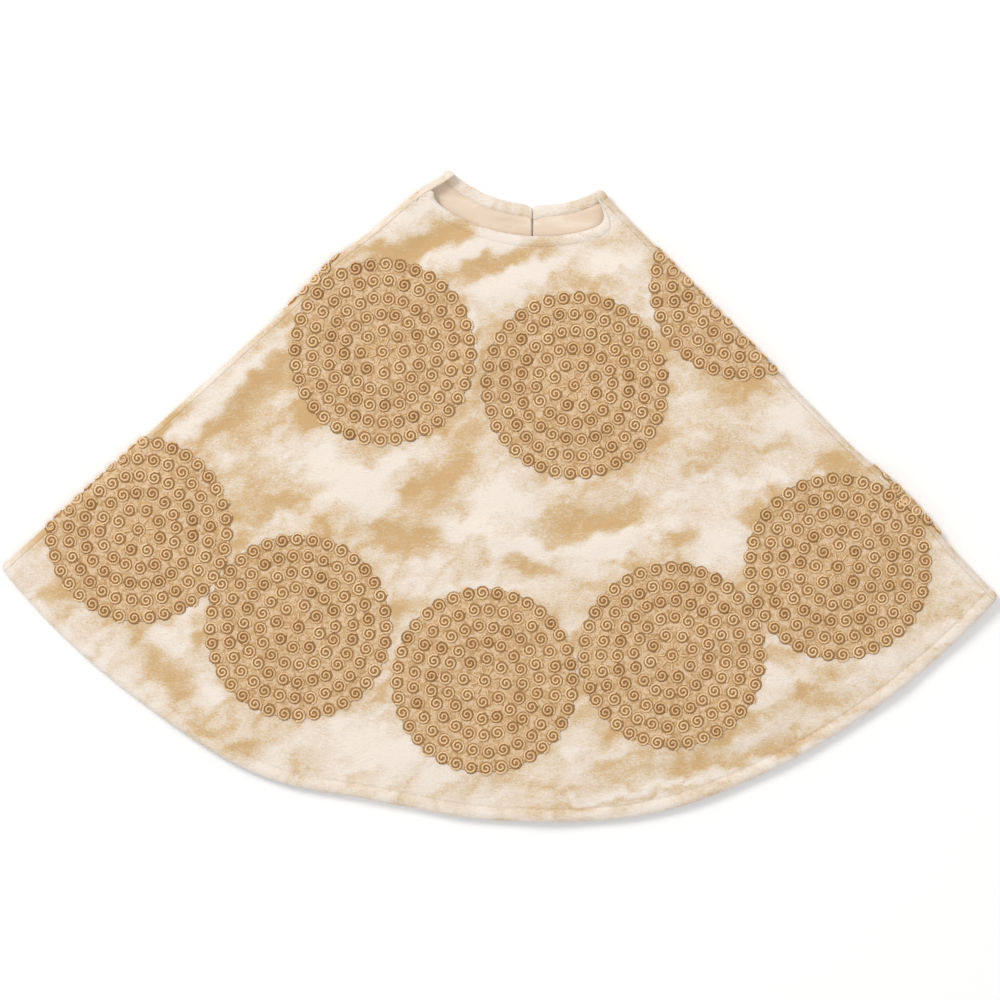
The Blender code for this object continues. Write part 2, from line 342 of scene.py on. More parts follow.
def make_piece(name, mesh, material, body, nodes):
    """Finishes a piece: gives it its material and smooth shading, hides the CAD parts under it, and hangs a
    front piece on the front's body; a back piece has its place baked into its points.
    """
    mesh.materials.append(material)
    mesh.shade_smooth()
    obj = bpy.data.objects.new(name, mesh)
    scene.collection.objects.link(obj)
    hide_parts(*nodes)
    if body in joints:
        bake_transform(obj)
    else:
        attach(obj, "front")
    return obj


def cloth_mesh(name, points, layer, thick):
    """A closed sheet of cloth whose outer face passes through a net of points, given row by row."""
    rows, columns = points.shape[:2]
    bm = bmesh.new()
    bmesh.ops.create_grid(bm, x_segments=columns - 1, y_segments=rows - 1, size=1.0)
    for vert in bm.verts:
        column = round((vert.co.x + 1) / 2 * (columns - 1))
        row = round((1 - vert.co.y) / 2 * (rows - 1))
        vert.co = points[row, column]
    if layer < 0:
        bmesh.ops.reverse_faces(bm, faces=bm.faces[:])
    bmesh.ops.solidify(bm, geom=bm.faces[:], thickness=thick)
    mesh = bpy.data.meshes.new(name)
    bm.to_mesh(mesh)
    bm.free()
    return mesh


def mesh_points(mesh):
    points = np.zeros(len(mesh.vertices) * 3)
    mesh.vertices.foreach_get("co", points)
    return points.reshape(-1, 3)


def set_attribute(mesh, name, values):
    attribute = mesh.attributes.new(name, "FLOAT", "POINT")
    attribute.data.foreach_set("value", np.asarray(values, dtype=np.float32))


UPPER_ROW = (
    (-66.4, 245.0, "back_left"), (-27.6, 243.5, "front"), (12.1, 250.0, "front"),
    (51.1, 253.0, "back_right"),
)
LOWER_ROW = (
    (-79.2, 490, "back_left"), (-60.2, 490, "back_left"), (-41.2, 490, "back_left"),
    (-22.3, 489, "front"), (-2.9, 499, "front"), (15.9, 496, "front"), (34.8, 488, "front"),
    (53.3, 490, "back_right"), (72.6, 490, "back_right"),
)
PATCH_RADIUS = 81 * MM
# The velvet's painted sheen and shade: a plain middle value with soft clouds, painted highlight streaks,
# listed strokes of painted shade and painted highlight, a painted highlight along the neck and hem, and
# painted shade round the medallions.
SHEEN_PLAIN = 0.58
SHEEN_CLOUDS = 0.06
BACK_SHEEN_CLOUDS = 0.1
PATCH_GAIN = 1.25
PATCH_MOST = 0.9
PATCH_WARP = 2.5 * MM
STREAK_SHEEN_UNDER = 0.06
STREAK_SHEEN_OVER = 0.072
STREAK_SHEEN_TURN = 200 * MM
STREAK_SHEEN_RUNS = ((-38, 31), (-8, 32))
STREAK_SHEEN_SPREAD = math.radians(28)
EDGE_HIGHLIGHT = 0.16
EDGE_WIDTH = 11 * MM
HALO_SHADE = 0.14
HALO_WIDTH = 9 * MM
CREASE_SHADE = 0.12
CREASE_LENGTH = 20 * MM
# Strokes of painted shade, gold: across and down from the tip in mm, half length, half width, tilt in
# degrees, strength.
SHADE_STROKES = (
    (-70, 116, 45, 12, -25, 1.0), (-9, 136, 50, 9, -17, 1.0), (-225, 250, 50, 22, -40, 0.8),
    (-250, 275, 30, 12, -30, 0.9), (-170, 265, 20, 15, 0, 0.6), (-225, 330, 30, 40, 0, 0.5),
    (-78, 338, 46, 18, -38, 1.0), (-95, 374, 42, 16, 5, 0.95), (-189, 347, 26, 14, 10, 0.7),
    (63, 364, 52, 18, -16, 1.0), (146, 374, 18, 10, 5, 0.7), (11, 400, 38, 8, 15, 0.6),
    (126, 291, 20, 25, 0, 0.4), (-46, 306, 32, 16, -60, 0.7), (190, 255, 40, 25, 0, 0.5),
    (175, 290, 20, 25, 0, 0.4), (285, 305, 30, 12, -20, 0.7), (60, 152, 26, 8, 10, 0.5),
    (125, 240, 10, 40, 0, 0.3), (-390, 430, 15, 25, 0, 0.4), (-293, 498, 55, 16, 50, 0.7),
    (-268, 546, 22, 10, 30, 0.7), (-232, 556, 22, 12, 20, 0.6), (265, 515, 30, 15, 0, 0.6),
    (190, 565, 90, 10, -12, 0.7), (80, 575, 20, 12, 0, 0.5), (22, 589, 30, 9, 0, 0.5),
    (100, 600, 120, 3, -10, 0.5), (350, 460, 60, 5, -35, 0.5), (-165, 375, 5, 15, 0, 0.6),
    (75, 125, 30, 10, 0, 0.4), (-110, 128, 40, 6, 0, 0.5),
)
# Strokes of painted highlight, white, in the same columns.
HIGHLIGHT_STROKES = (
    (-88, 97, 38, 8, -30, 0.8), (-245, 245, 60, 8, -44, 0.8), (-28, 124, 44, 7, -16, 1.0),
    (2, 149, 52, 7, -18, 1.0), (-12, 164, 40, 8, -5, 0.8), (84, 138, 28, 12, 5, 0.8),
    (-138, 329, 46, 17, 35, 0.95), (-97, 307, 34, 10, -20, 0.8), (-250, 305, 10, 12, 0, 0.5),
    (-8, 345, 28, 18, 0, 0.9), (-8, 378, 60, 10, 15, 1.0), (84, 379, 42, 9, -15, 0.9),
    (-27, 419, 56, 8, -2, 0.9), (176, 377, 22, 32, 0, 0.7), (240, 270, 20, 20, 0, 0.7),
    (-100, 560, 90, 25, 8, 0.7), (240, 455, 25, 20, 0, 0.6), (330, 475, 60, 8, -30, 0.6),
    (120, 590, 60, 4, -12, 0.7), (-295, 467, 24, 12, 40, 0.6), (-262, 509, 20, 12, 0, 0.6),
    (375, 400, 15, 25, 0, 0.3), (-425, 400, 12, 12, 0, 0.4), (-200, 370, 12, 25, 0, 0.4),
    (-37, 200, 5, 30, 0, 0.8), (115, 175, 8, 25, 0, 0.6),
)


def pucker_shade(flat, rows):
    """Painted shade just outside a medallion's edge: a darker ring, and darker radial streaks for the small
    creases where the stitches pull the cloth.
    """
    total = np.zeros(flat.shape[:-1])
    for number, (degrees, reach, _) in enumerate(rows):
        off = flat - polar(reach * MM, math.radians(degrees))
        gap = np.maximum(np.hypot(off[..., 0], off[..., 1]) - PATCH_RADIUS, 0)
        round_it = np.arctan2(off[..., 1], off[..., 0])
        crease_shading = np.sin(17 * round_it + 5 * number) + np.sin(29 * round_it + 3 * number)
        total += HALO_SHADE * bump(gap, 0, HALO_WIDTH)
        total += CREASE_SHADE * np.maximum(crease_shading - 0.3, 0) * bump(gap, 0, CREASE_LENGTH)
    return total


def unrolled(points, fold):
    """Where a back layer's points, laid round their fold, would be on the plan of the front."""
    from_tip = points[:, :2] - TIP
    inset, run = from_tip @ fold["across"], from_tip @ fold["along"]
    edge = FOLD_RADIUS - bulge(fold, run)
    turn = np.arctan2(np.maximum(edge - inset, 0), points[:, 2] - MIDDLE)
    inset = edge - turn * FOLD_RADIUS - np.maximum(inset - edge, 0)
    return TIP + run[:, None] * fold["along"] + inset[:, None] * fold["across"]


def paint_sheen(mesh, body):
    """Paints the crushed velvet's sheen and shade as a value: 0 is painted shade and looks gold, 1 is
    painted highlight and looks white.
    """
    points = mesh_points(mesh)
    flat = points[:, :2]
    if body in joints:
        flat = unrolled(points, LEFT if body == "back_left" else RIGHT)
    warp = PATCH_WARP * np.stack(
        (waves(flat, 16, 12 * MM, 45 * MM, 3), waves(flat, 16, 12 * MM, 45 * MM, 4)), axis=-1
    )
    pile = SHEEN_PLAIN + SHEEN_CLOUDS * waves(flat + warp, 24, 22 * MM, 90 * MM, 5)
    to_right = smooth((flat[:, 0] - TIP[0]) / STREAK_SHEEN_TURN + 0.5)
    # Painted sheen streaks, slanting one way on the left of the skirt and another way on the right.
    sheen_streaks = np.zeros(len(flat))
    for share, (degrees, seed) in zip((1 - to_right, to_right), STREAK_SHEEN_RUNS):
        across = math.radians(90 - degrees)
        sheen_streaks += share * waves(flat + warp, 40, 9 * MM, 60 * MM, seed, across, STREAK_SHEEN_SPREAD)
    pile = pile + STREAK_SHEEN_UNDER * sheen_streaks
    for target, strokes in ((0.0, SHADE_STROKES), (1.0, HIGHLIGHT_STROKES)):
        for *patch, strength in strokes:
            cover = PATCH_MOST * smooth(strength * PATCH_GAIN * stroke(flat + warp, *patch))
            pile = pile + (target - pile) * cover
    pile = pile + STREAK_SHEEN_OVER * sheen_streaks
    from_tip = points[:, :2] - TIP
    radius = np.hypot(from_tip[:, 0], from_tip[:, 1])
    angle = np.arctan2(from_tip[:, 0], -from_tip[:, 1])
    layer = SIDES[body][0]
    # A painted highlight along the neck and along the hem.
    for edge in (neck_edge(angle, layer), hem_edge(angle, layer)):
        pile = pile + EDGE_HIGHLIGHT * bump(radius, edge, EDGE_WIDTH)
    # Painted shade round each medallion, in a ring and in crease streaks.
    pile = pile - pucker_shade(flat + warp, UPPER_ROW + LOWER_ROW)
    # Broad clouds of painted sheen and shade on the back layers.
    if body in joints:
        pile = pile + BACK_SHEEN_CLOUDS * waves(flat + warp, 12, 90 * MM, 200 * MM, 6)
    # The painted sheen and shade is stored on the points, for the velvet's colour.
    set_attribute(mesh, "pile", pile)


def srgb(red, green, blue):
    """A colour as it is seen, on a scale of 255, turned into light."""
    linear = [
        part / 3294.6 if part <= 10.3 else ((part / 255 + 0.055) / 1.055) ** 2.4
        for part in (red, green, blue)
    ]
    return (*linear, 1.0)


def add_noise(nodes, links, scale, detail, distortion=0.0, stretch=(1, 1, 1), turn=0.0):
    """Noise on the object's own coordinates, stretched into streaks if wanted."""
    where = nodes.new("ShaderNodeTexCoord")
    mapping = nodes.new("ShaderNodeMapping")
    mapping.inputs["Scale"].default_value = stretch
    mapping.inputs["Rotation"].default_value = (0, 0, turn)
    texture = nodes.new("ShaderNodeTexNoise")
    texture.inputs["Scale"].default_value = scale
    texture.inputs["Detail"].default_value = detail
    texture.inputs["Distortion"].default_value = distortion
    links.new(where.outputs["Object"], mapping.inputs["Vector"])
    links.new(mapping.outputs["Vector"], texture.inputs["Vector"])
    return texture.outputs["Fac"]


def maths(nodes, links, operation, first, second):
    """One sum of two sockets or numbers."""
    node = nodes.new("ShaderNodeMath")
    node.operation = operation
    for socket, value in zip(node.inputs, (first, second)):
        if isinstance(value, (int, float)):
            socket.default_value = value
        else:
            links.new(value, socket)
    return node.outputs[0]


def colour_ramp(nodes, links, factor, stops):
    ramp = nodes.new("ShaderNodeValToRGB")
    ramp.color_ramp.interpolation = "EASE"
    while len(ramp.color_ramp.elements) < len(stops):
        ramp.color_ramp.elements.new(0.5)
    for element, (at, colour) in zip(ramp.color_ramp.elements, stops):
        element.position = at
        element.color = colour
    links.new(factor, ramp.inputs["Fac"])
    return ramp.outputs["Color"]


def add_bump(nodes, links, shader, height, distance, strength):
    node = nodes.new("ShaderNodeBump")
    node.inputs["Distance"].default_value = distance
    node.inputs["Strength"].default_value = strength
    links.new(height, node.inputs["Height"])
    links.new(node.outputs["Normal"], shader.inputs["Normal"])


# The velvet's base colour is painted sheen and shade: the painted sheen value, broken up by streak and fibre
# noise, runs through a ramp from gold shade to white highlight.
velvet, nodes, links, shader = new_material("crushed_velvet", 0.62, sheen=0.25, specular=0.25)
pile = nodes.new("ShaderNodeAttribute")
pile.attribute_name = "pile"
streaks = add_noise(
    nodes, links, scale=210, detail=8, distortion=1.0, stretch=(1.0, 2.2, 1.0), turn=math.radians(25)
)
fibres = add_noise(
    nodes, links, scale=520, detail=5, distortion=0.6, stretch=(1.0, 2.2, 1.0), turn=math.radians(12)
)
sheen_level = maths(nodes, links, "MULTIPLY", maths(nodes, links, "SUBTRACT", streaks, 0.5), 0.60)
sheen_level = maths(nodes, links, "ADD", pile.outputs["Fac"], sheen_level)
fine = maths(nodes, links, "MULTIPLY", maths(nodes, links, "SUBTRACT", fibres, 0.5), 1.0)
sheen_level = maths(nodes, links, "ADD", sheen_level, fine)
velvet_sheen_colour = colour_ramp(
    nodes,
    links,
    sheen_level,
    (
        (0.04, srgb(205, 169, 120)),
        (0.28, srgb(214, 187, 149)),
        (0.48, srgb(224, 205, 181)),
        (0.64, srgb(230, 214, 196)),
        (0.86, srgb(237, 226, 213)),
    ),
)
links.new(velvet_sheen_colour, shader.inputs["Base Color"])
crush = maths(nodes, links, "ADD", streaks, maths(nodes, links, "MULTIPLY", fibres, 0.4))
add_bump(nodes, links, shader, crush, 1.2 * MM, 0.5)


def from_neck(distance, layer):
    return lambda angle: neck_edge(angle, layer) + distance


def from_hem(distance, layer):
    return lambda angle: hem_edge(angle, layer) - distance


def between(share, first, second):
    return lambda angle: first(angle) * (1 - share) + second(angle) * share


def shell_rows(layer, near, far, count):
    """Rows of a panel: some close to the neck, some close to the hem, and an even spread between."""
    inner = [from_neck(distance, layer) for distance in near]
    outer = [from_hem(distance, layer) for distance in far]
    spread = [between(i / count, inner[-1], outer[0]) for i in range(1, count)]
    return inner + spread + outer


def edge_shape(flat, layer):
    """The turned and stitched hem and the rolled neck, as heights off the plain outer face."""
    from_tip = flat - TIP
    radius = np.hypot(from_tip[..., 0], from_tip[..., 1])
    angle = np.arctan2(from_tip[..., 0], -from_tip[..., 1])
    to_hem = (hem_edge(angle, layer) - radius) / MM
    to_neck = (radius - neck_edge(angle, layer)) / MM
    return MM * (np.interp(to_hem, *zip(*HEM_PROFILE)) + np.interp(to_neck, *zip(*NECK_PROFILE)))


NEAR_NECK = [distance * MM for distance in (0, 0.7, 1.5, 2.5, 4, 6, 9, 12)]
HEM_STEPS = (18, 15, 13.6, 12.5, 11.7, 11, 10.2, 9.5, 8.2, 7, 5.5, 4, 3, 2, 1.3, 0.8, 0.3, 0)
NEAR_HEM = [distance * MM for distance in HEM_STEPS]


def velvet_panel(body, columns, count):
    layer = SIDES[body][0]
    flat = panel_points(SIDES[body], shell_rows(layer, NEAR_NECK, NEAR_HEM, count), columns)
    height = edge_shape(flat, layer)
    if layer > 0:
        height = height + relief(flat)
    mesh = cloth_mesh(f"{body}_velvet", lay(flat, height, layer), layer, VELVET_THICK)
    paint_sheen(mesh, body)
    obj = make_piece(
        f"{body}_velvet", mesh, velvet, body, [f"velvet_{body}"]
    )


velvet_panel("front", columns=330, count=118)
velvet_panel("back_left", columns=150, count=70)
velvet_panel("back_right", columns=150, count=70)

# The neck binding: a strip of the same velvet, folded over the raw edge of the neck and stitched through
# 9 mm from it, so that it stands as a soft welt outside and lies flat inside.
BINDING_PROFILE = (
    (9.5, -2.0), (9, -2.6), (6, -2.9), (3, -2.9), (1, -2.7), (-0.2, -2.1), (-0.8, -1.2), (-0.6, -0.3),
    (0.2, 0.5), (1.6, 1.1), (3.4, 1.4), (5.4, 1.3), (7.2, 0.9), (8.4, 0.35), (9, -0.1), (9.4, -0.5),
)
BINDING_CLOTH = 0.5 * MM


def strip(name, body, sides, rows, heights, columns, thick):
    """A narrow piece that follows the shell, with a height for each of its rows."""
    layer = SIDES[body][0]
    flat = panel_points(sides, rows, columns)
    height = np.array(heights)[:, None] * MM + np.zeros(flat.shape[:2])
    if layer > 0:
        height = height + relief(flat)
    mesh = cloth_mesh(name, lay(flat, height, layer), layer, thick)
    paint_sheen(mesh, body)
    return mesh


def neck_binding(body, columns):
    layer = SIDES[body][0]
    rows = [from_neck(distance * MM, layer) for distance, _ in BINDING_PROFILE]
    heights = [height for _, height in BINDING_PROFILE]
    name = f"{body}_neck_binding"
    mesh = strip(name, body, SIDES[body], rows, heights, columns, BINDING_CLOTH)
    obj = make_piece(name, mesh, velvet, body, [f"neck_binding_{body}"])


neck_binding("front", columns=160)
neck_binding("back_left", columns=90)
neck_binding("back_right", columns=90)

# The lining: matt satin, cut like the shell and sewn in at the neck binding and under the hem facing.
# It hangs a little loose from the velvet, flat; its fine soft creases are a bump, with painted shade and
# highlight in its colour.
LINING_UNDER = -1.7
LINING_THICK = 0.5 * MM
LINING_FROM_SLIT = 0.9 * MM
LINING_FROM_NECK = 6 * MM
LINING_FROM_HEM = 22 * MM

lining_satin, nodes, links, shader = new_material("lining_satin", 0.5, sheen=0.1, specular=0.35)
# The satin's colour is painted shade and highlight of fine creases, from the same noise as its bump.
crease_shading = add_noise(
    nodes, links, scale=28, detail=3, distortion=0.8, stretch=(1.0, 2.4, 1.0), turn=math.radians(30)
)
weave = add_noise(nodes, links, scale=900, detail=2, stretch=(1.0, 5.0, 1.0))
shade = maths(nodes, links, "ADD", crease_shading, maths(nodes, links, "MULTIPLY", weave, 0.25))
satin_colour = colour_ramp(
    nodes,
    links,
    shade,
    ((0.35, srgb(219, 196, 172)), (0.62, srgb(228, 207, 185)), (0.85, srgb(236, 219, 200))),
)
links.new(satin_colour, shader.inputs["Base Color"])
add_bump(nodes, links, shader, shade, 0.8 * MM, 0.4)


def lining_sides(body):
    layer, left, right = SIDES[body]
    if body == "back_left":
        right = slit_cut(-LINING_FROM_SLIT)
    if body == "back_right":
        left = slit_cut(LINING_FROM_SLIT)
    return layer, left, right


def lining_panel(body, columns, count):
    layer = SIDES[body][0]
    inner, outer = from_neck(LINING_FROM_NECK, layer), from_hem(LINING_FROM_HEM, layer)
    rows = [between(i / count, inner, outer) for i in range(count + 1)]
    heights = [LINING_UNDER] * len(rows)
    name = f"{body}_lining"
    mesh = strip(name, body, lining_sides(body), rows, heights, columns, LINING_THICK)
    obj = make_piece(name, mesh, lining_satin, body, [f"lining_{body}"])


lining_panel("front", columns=180, count=80)
lining_panel("back_left", columns=110, count=60)
lining_panel("back_right", columns=110, count=60)

# The hem facing: the velvet's own edge, turned up 25 mm inside and stitched over the lining's edge.
FACING_UNDER = (-2.0, -2.5, -2.6, -2.6, -2.4)
FACING_AT = (1.5, 4, 11, 20, 25)
FACING_THICK = 0.6 * MM


def hem_facing(body, columns):
    layer = SIDES[body][0]
    rows = [from_hem(distance * MM, layer) for distance in reversed(FACING_AT)]
    name = f"{body}_hem_facing"
    mesh = strip(name, body, SIDES[body], rows, FACING_UNDER[::-1], columns, FACING_THICK)
    obj = make_piece(name, mesh, velvet, body, [f"hem_facing_{body}"])


hem_facing("front", columns=200)
hem_facing("back_left", columns=120)
hem_facing("back_right", columns=120)

# The slit facings: a strip of the lining satin inside each edge of the slit, from just below the neck to
# the hem. The left one reaches 6 mm past the slit, under the right one, so that no gap shows.
SLIT_FACING_WIDTH = 18 * MM
SLIT_FACING_UNDER = {-1: -2.3, 1: -3.1}
SLIT_UNDERLAP = 6 * MM
SLIT_FACING_INSET = 1 * MM
SLIT_FACING_FROM_HEM = 3 * MM
SLIT_FACING_ROWS = 90
SLIT_FACING_BELOW_NECK = 34 * MM

for body, side in (("back_left", -1), ("back_right", 1)):
    edge = SLIT_FACING_INSET if side > 0 else SLIT_UNDERLAP
    cuts = [slit_cut(edge), slit_cut(side * SLIT_FACING_WIDTH)][::side]
    inner, outer = from_neck(SLIT_FACING_BELOW_NECK, -1), from_hem(SLIT_FACING_FROM_HEM, -1)
    rows = [between(i / SLIT_FACING_ROWS, inner, outer) for i in range(SLIT_FACING_ROWS + 1)]
    name = f"slit_facing_{'left' if side < 0 else 'right'}"
    piece_name = f"{body}_slit_facing"
    heights = [SLIT_FACING_UNDER[side]] * len(rows)
    mesh = strip(piece_name, body, (-1, *cuts), rows, heights, 2 * ROLL_COLUMNS + 3, FACING_THICK)
    obj = make_piece(piece_name, mesh, lining_satin, body, [name])

# The medallions: round patches of coiled cord, sewn on after the skirt is lined. Each is a net disc that
# carries 113 small coils of shiny gold cord, in rings, with short cords at the middle. Under each coil lies
# a
# dark dot, a little wider than the coil: dark couching, and painted shade between its turns and round its
# edge.
MEDALLION_RADIUS = 81 * MM
MEDALLION_SEEDS = (11, 12, 13)
COIL_AWAY = 1.0
COIL_ALONG = 0.6
COIL_CLOSEST = 9 * MM
SWIRL_RINGS = ((1, 0.0), (8, 18.8), (16, 32.7), (23, 47.0), (29, 61.3), (36, 75.6))
CORD_RADIUS = 0.88 * MM
COIL_TURNS = 1.7
COIL_FROM = 0.6 * MM
COIL_TO = 5.9 * MM
COIL_STEPS = 15
DOT_RADIUS = 6.0 * MM
DOT_THICK = 0.35 * MM
NET_THICK = 0.3 * MM
NET_RINGS = 36
NET_SEGMENTS = 144
NET_DIP = 2.6 * MM
SPOKES = 8
ABOVE_VELVET = 0.15 * MM


def cord_mesh(name, points):
    """A round cord with closed ends along a line of points."""
    curve = bpy.data.curves.new(name, "CURVE")
    curve.dimensions = "3D"
    curve.bevel_depth = CORD_RADIUS
    curve.bevel_resolution = 0
    curve.use_fill_caps = True
    line = curve.splines.new("POLY")
    line.points.add(len(points) - 1)
    for point, place in zip(line.points, points):
        point.co = (*place, 1.0)
    guide = bpy.data.objects.new(name, curve)
    scene.collection.objects.link(guide)
    bpy.context.view_layer.update()
    seen = guide.evaluated_get(bpy.context.evaluated_depsgraph_get())
    mesh = bpy.data.meshes.new_from_object(seen)
    bpy.data.objects.remove(guide)
    return mesh


def coil_points():
    points = []
    for step in range(COIL_STEPS + 1):
        share = step / COIL_STEPS
        turn = -2 * math.pi * COIL_TURNS * share
        reach = COIL_FROM + (COIL_TO - COIL_FROM) * share**0.9
        points.append((reach * math.cos(turn), reach * math.sin(turn), DOT_THICK + CORD_RADIUS))
    return points


coil = cord_mesh("coil", coil_points())
spoke_height = NET_THICK + CORD_RADIUS * 0.8
spoke = cord_mesh("spoke", [(reach * MM, 0, spoke_height) for reach in (6.6, 9.5, 12.4)])

# The dark dot under a coil: dark couching, and painted shade between the cord's turns and round its edge.
bm = bmesh.new()
bmesh.ops.create_cone(
    bm, cap_ends=True, segments=11, radius1=DOT_RADIUS, radius2=DOT_RADIUS * 0.93, depth=DOT_THICK
)
bmesh.ops.translate(bm, verts=bm.verts[:], vec=(0, 0, NET_THICK + DOT_THICK / 2))
felt_dot = bpy.data.meshes.new("felt_dot")
bm.to_mesh(felt_dot)
bm.free()


def net_disc():
    """The net that the coils are worked on, a disc whose edge dips between the outermost coils."""
    bm = bmesh.new()
    step = MEDALLION_RADIUS / NET_RINGS
    bmesh.ops.create_circle(bm, cap_ends=True, cap_tris=True, segments=NET_SEGMENTS, radius=step)
    for ring in range(2, NET_RINGS + 1):
        rim = [edge for edge in bm.edges if edge.is_boundary]
        grown = bmesh.ops.extrude_edge_only(bm, edges=rim)["geom"]
        new = [part for part in grown if isinstance(part, bmesh.types.BMVert)]
        share = ring / (ring - 1)
        bmesh.ops.scale(bm, verts=new, vec=(share, share, 1.0))
    rim = [vert for vert in bm.verts if vert.is_boundary]
    for vert in rim:
        coils = SWIRL_RINGS[-1][0] * math.atan2(vert.co.y, vert.co.x) / 2
        vert.co *= 1 - NET_DIP * abs(math.cos(coils)) / MEDALLION_RADIUS
    bmesh.ops.recalc_face_normals(bm, faces=bm.faces[:])
    if bm.faces[:][0].normal.z < 0:
        bmesh.ops.reverse_faces(bm, faces=bm.faces[:])
    bmesh.ops.translate(bm, verts=bm.verts[:], vec=(0, 0, NET_THICK))
    bmesh.ops.solidify(bm, geom=bm.faces[:], thickness=NET_THICK)
    return bm


def add_copy(bm, mesh, material_index, x, y, turn):
    """Puts one more copy of a small mesh on the medallion, and says how many points it has."""
    start = len(bm.verts)
    first_face = len(bm.faces)
    bm.from_mesh(mesh)
    bm.verts.ensure_lookup_table()
    bm.faces.ensure_lookup_table()
    for face in bm.faces[first_face:]:
        face.material_index = material_index
    matrix = Matrix.Translation((x, y, 0)) @ Matrix.Rotation(turn, 4, "Z")
    bmesh.ops.transform(bm, matrix=matrix, verts=bm.verts[start:])
    return len(bm.verts) - start


def flat_medallion(seed):
    """One medallion, flat and round its own middle, with a shade for each coil."""
    draw = random.Random(seed)
    bm = net_disc()
    tint = [0.5] * len(bm.verts)
    for count, reach in SWIRL_RINGS:
        first = draw.uniform(0, 2 * math.pi)
        if count == SWIRL_RINGS[-1][0]:
            first = math.pi / count
        for i in range(count):
            angle = first + 2 * math.pi * i / count
            strays = 0 < reach < SWIRL_RINGS[-1][1]
            away = (reach + draw.uniform(-COIL_AWAY, COIL_AWAY) * strays) * MM
            angle += draw.uniform(-COIL_ALONG, COIL_ALONG) * MM / max(away, COIL_CLOSEST)
            place = (away * math.cos(angle), away * math.sin(angle))
            shade = draw.random()
            turn = draw.uniform(0, 2 * math.pi)
            for mesh, index in ((felt_dot, 1), (coil, 2)):
                tint += [shade] * add_copy(bm, mesh, index, *place, turn)
    for i in range(SPOKES):
        tint += [0.4] * add_copy(bm, spoke, 2, 0, 0, 2 * math.pi * (i + 0.3) / SPOKES)
    mesh = bpy.data.meshes.new("medallion")
    bm.to_mesh(mesh)
    bm.free()
    set_attribute(mesh, "tint", tint)
    return mesh


net, nodes, links, shader = new_material("gold_net", 0.75, sheen=0.1, specular=0.25)
patches = add_noise(nodes, links, scale=240, detail=4, distortion=1.0)
mesh_holes = add_noise(nodes, links, scale=420, detail=3, distortion=0.3)
shade = maths(nodes, links, "ADD", patches, maths(nodes, links, "MULTIPLY", mesh_holes, 0.8))
net_colour = colour_ramp(
    nodes,
    links,
    shade,
    (
        (0.62, srgb(178, 141, 94)),
        (0.84, srgb(202, 167, 121)),
        (1.0, srgb(220, 192, 158)),
    ),
)
links.new(net_colour, shader.inputs["Base Color"])
add_bump(nodes, links, shader, shade, 1.2 * MM, 0.7)

# The dots' dark brown is painted shade, with a random tone for each coil.
shade_dot_paint, nodes, links, shader = new_material("dark_felt", 0.85, specular=0.15)
tint = nodes.new("ShaderNodeAttribute")
tint.attribute_name = "tint"
dot_fibres = add_noise(nodes, links, scale=1100, detail=3)
shade = maths(nodes, links, "ADD", tint.outputs["Fac"], dot_fibres)
dot_shade_colour = colour_ramp(
    nodes, links, shade, ((0.2, srgb(144, 105, 64)), (1.0, srgb(166, 127, 83)))
)
links.new(dot_shade_colour, shader.inputs["Base Color"])
add_bump(nodes, links, shader, dot_fibres, 0.3 * MM, 0.5)

gold_cord, nodes, links, shader = new_material("gold_cord", 0.42, sheen=0.15, specular=0.5)
tint = nodes.new("ShaderNodeAttribute")
tint.attribute_name = "tint"
plies = add_noise(nodes, links, scale=750, detail=2, distortion=0.5)
shade = maths(nodes, links, "MULTIPLY", maths(nodes, links, "SUBTRACT", plies, 0.5), 0.9)
shade = maths(nodes, links, "ADD", maths(nodes, links, "MULTIPLY", tint.outputs["Fac"], 0.45), shade)
cord_colour = colour_ramp(
    nodes,
    links,
    shade,
    (
        (0.0, srgb(224, 184, 130)),
        (0.3, srgb(240, 205, 155)),
        (0.75, srgb(252, 226, 186)),
    ),
)
links.new(cord_colour, shader.inputs["Base Color"])
add_bump(nodes, links, shader, plies, 0.5 * MM, 0.6)

medallion_meshes = [flat_medallion(seed) for seed in MEDALLION_SEEDS]


def medallion(row, number, degrees, reach, body, nodes_below):
    """Lays a medallion on the velvet at its angle and its distance from the tip."""
    draw = random.Random(number + 20 * len(row))
    mesh = medallion_meshes[number % len(medallion_meshes)].copy()
    name = f"{row}_medallion_{number}"
    mesh.name = name
    mesh.materials.append(net)
    mesh.materials.append(shade_dot_paint)
    points = mesh_points(mesh)
    turn = draw.uniform(0, 2 * math.pi)
    east = points[:, 0] * math.cos(turn) - points[:, 1] * math.sin(turn)
    north = points[:, 0] * math.sin(turn) + points[:, 1] * math.cos(turn)
    middle = polar(reach, math.radians(degrees))
    flat = middle + np.column_stack((east, north))
    placed = lay(flat, relief(flat) + points[:, 2] + ABOVE_VELVET)
    mesh.vertices.foreach_set("co", placed.ravel())
    mesh.update()
    make_piece(name, mesh, gold_cord, body, nodes_below)


for row, places in (("upper", UPPER_ROW), ("lower", LOWER_ROW)):
    for number, (degrees, reach, body) in enumerate(places, 1):
        node = f"medallion_{row}_{number}"
        below = [name for name in frame["nodes"] if name in (node, f"{node}_wrap")]
        medallion(row, number, degrees, reach * MM, body, below)

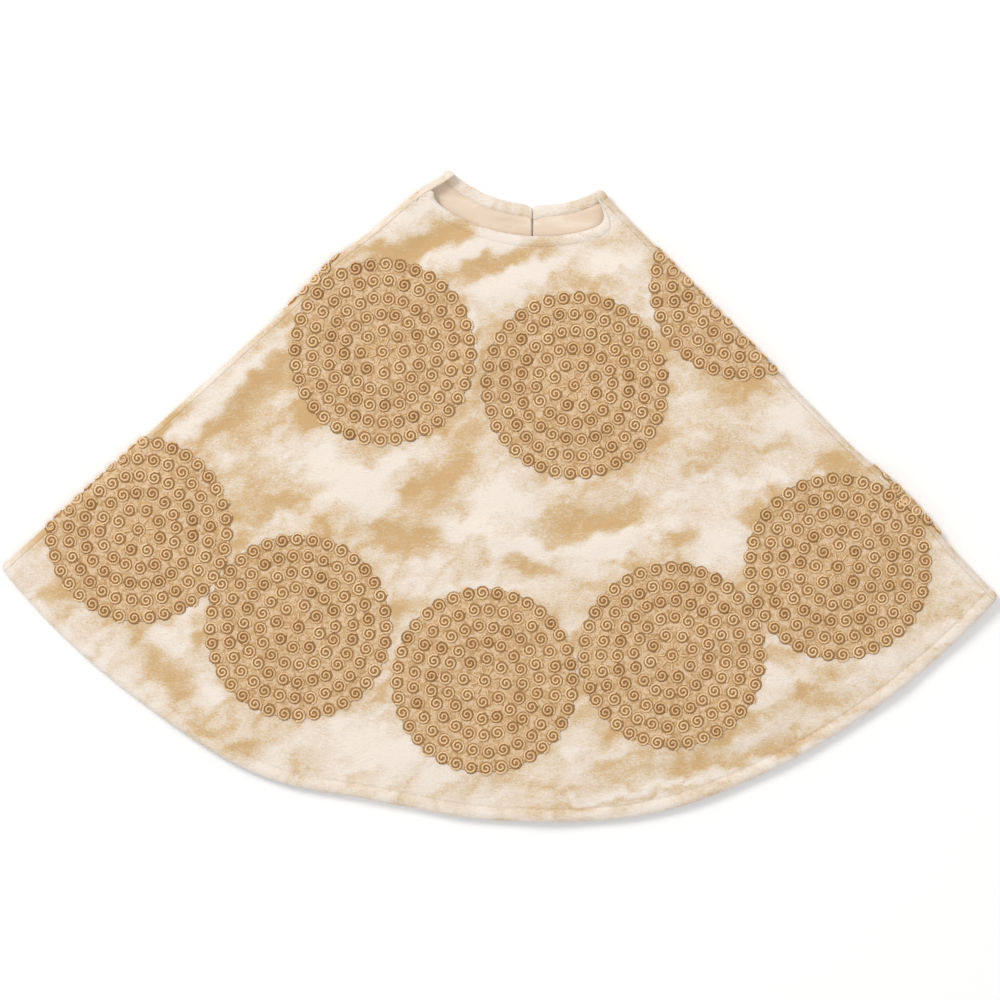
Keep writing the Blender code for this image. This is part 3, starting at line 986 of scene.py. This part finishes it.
# The ribbon ties: three pairs of satin ribbon, each sewn by one end inside the slit's edge, that tie the
# skirt shut behind the tree. Here they lie loose under the back.
TIE_STARTS = (118, 285, 440)
TIE_LENGTH = 140 * MM
TIE_WIDTH = 12 * MM
TIE_THICK = 0.4 * MM
TIE_FROM_SLIT = 12 * MM
TIE_SWING = 13 * MM
TIE_ABOVE_FLOOR = 1.1 * MM
TIE_LIFT = 0.25 * MM
TIE_RIPPLES = 2.5
TIE_SLANT = 6 * MM
TIE_STEPS = 48
TIE_ACROSS = 5

ribbon, nodes, links, shader = new_material("ribbon_satin", 0.34, sheen=0.1, specular=0.6)
threads = add_noise(nodes, links, scale=1500, detail=2, stretch=(0.25, 1.0, 1.0))
ribbon_colour = colour_ramp(
    nodes, links, threads, ((0.3, srgb(222, 192, 150)), (0.7, srgb(240, 220, 188)))
)
links.new(ribbon_colour, shader.inputs["Base Color"])
add_bump(nodes, links, shader, threads, 0.2 * MM, 0.4)


def tie_points(start, side):
    """A net of points along a ribbon that makes one lazy bend towards the hem."""
    share = np.linspace(0, 1, TIE_STEPS)
    away = TIE_FROM_SLIT + TIE_SWING * (1 - np.cos(2 * math.pi * share)) / 2
    x = TIP[0] + SLIT_OFFSET + side * away
    y = TIP[1] - start - TIE_LENGTH * share
    run = np.stack((np.gradient(x), np.gradient(y)), axis=-1)
    run /= np.linalg.norm(run, axis=-1, keepdims=True)
    sideways = np.stack((-run[:, 1], run[:, 0]), axis=-1)
    across = np.linspace(-0.5, 0.5, TIE_ACROSS) * TIE_WIDTH
    slant = np.linspace(-0.5, 0.5, TIE_ACROSS) * TIE_SLANT * (share[:, None] > 0.99)
    flat = np.stack((x, y), axis=-1)[:, None] + sideways[:, None] * across[:, None]
    flat = flat + run[:, None] * slant[..., None]
    lift = TIE_LIFT * np.sin(2 * math.pi * share * TIE_RIPPLES)[:, None] * np.ones(TIE_ACROSS)
    return np.concatenate((flat, (TIE_ABOVE_FLOOR + lift)[..., None]), axis=-1)


for side, side_name in ((-1, "left"), (1, "right")):
    for number, start in enumerate(TIE_STARTS, 1):
        name = f"{side_name}_tie_{number}"
        mesh = cloth_mesh(name, tie_points(start * MM, side), -1, TIE_THICK)
        below = [f"ribbon_tie_{side_name}_{number}"]
        obj = make_piece(name, mesh, ribbon, f"back_{side_name}", below)
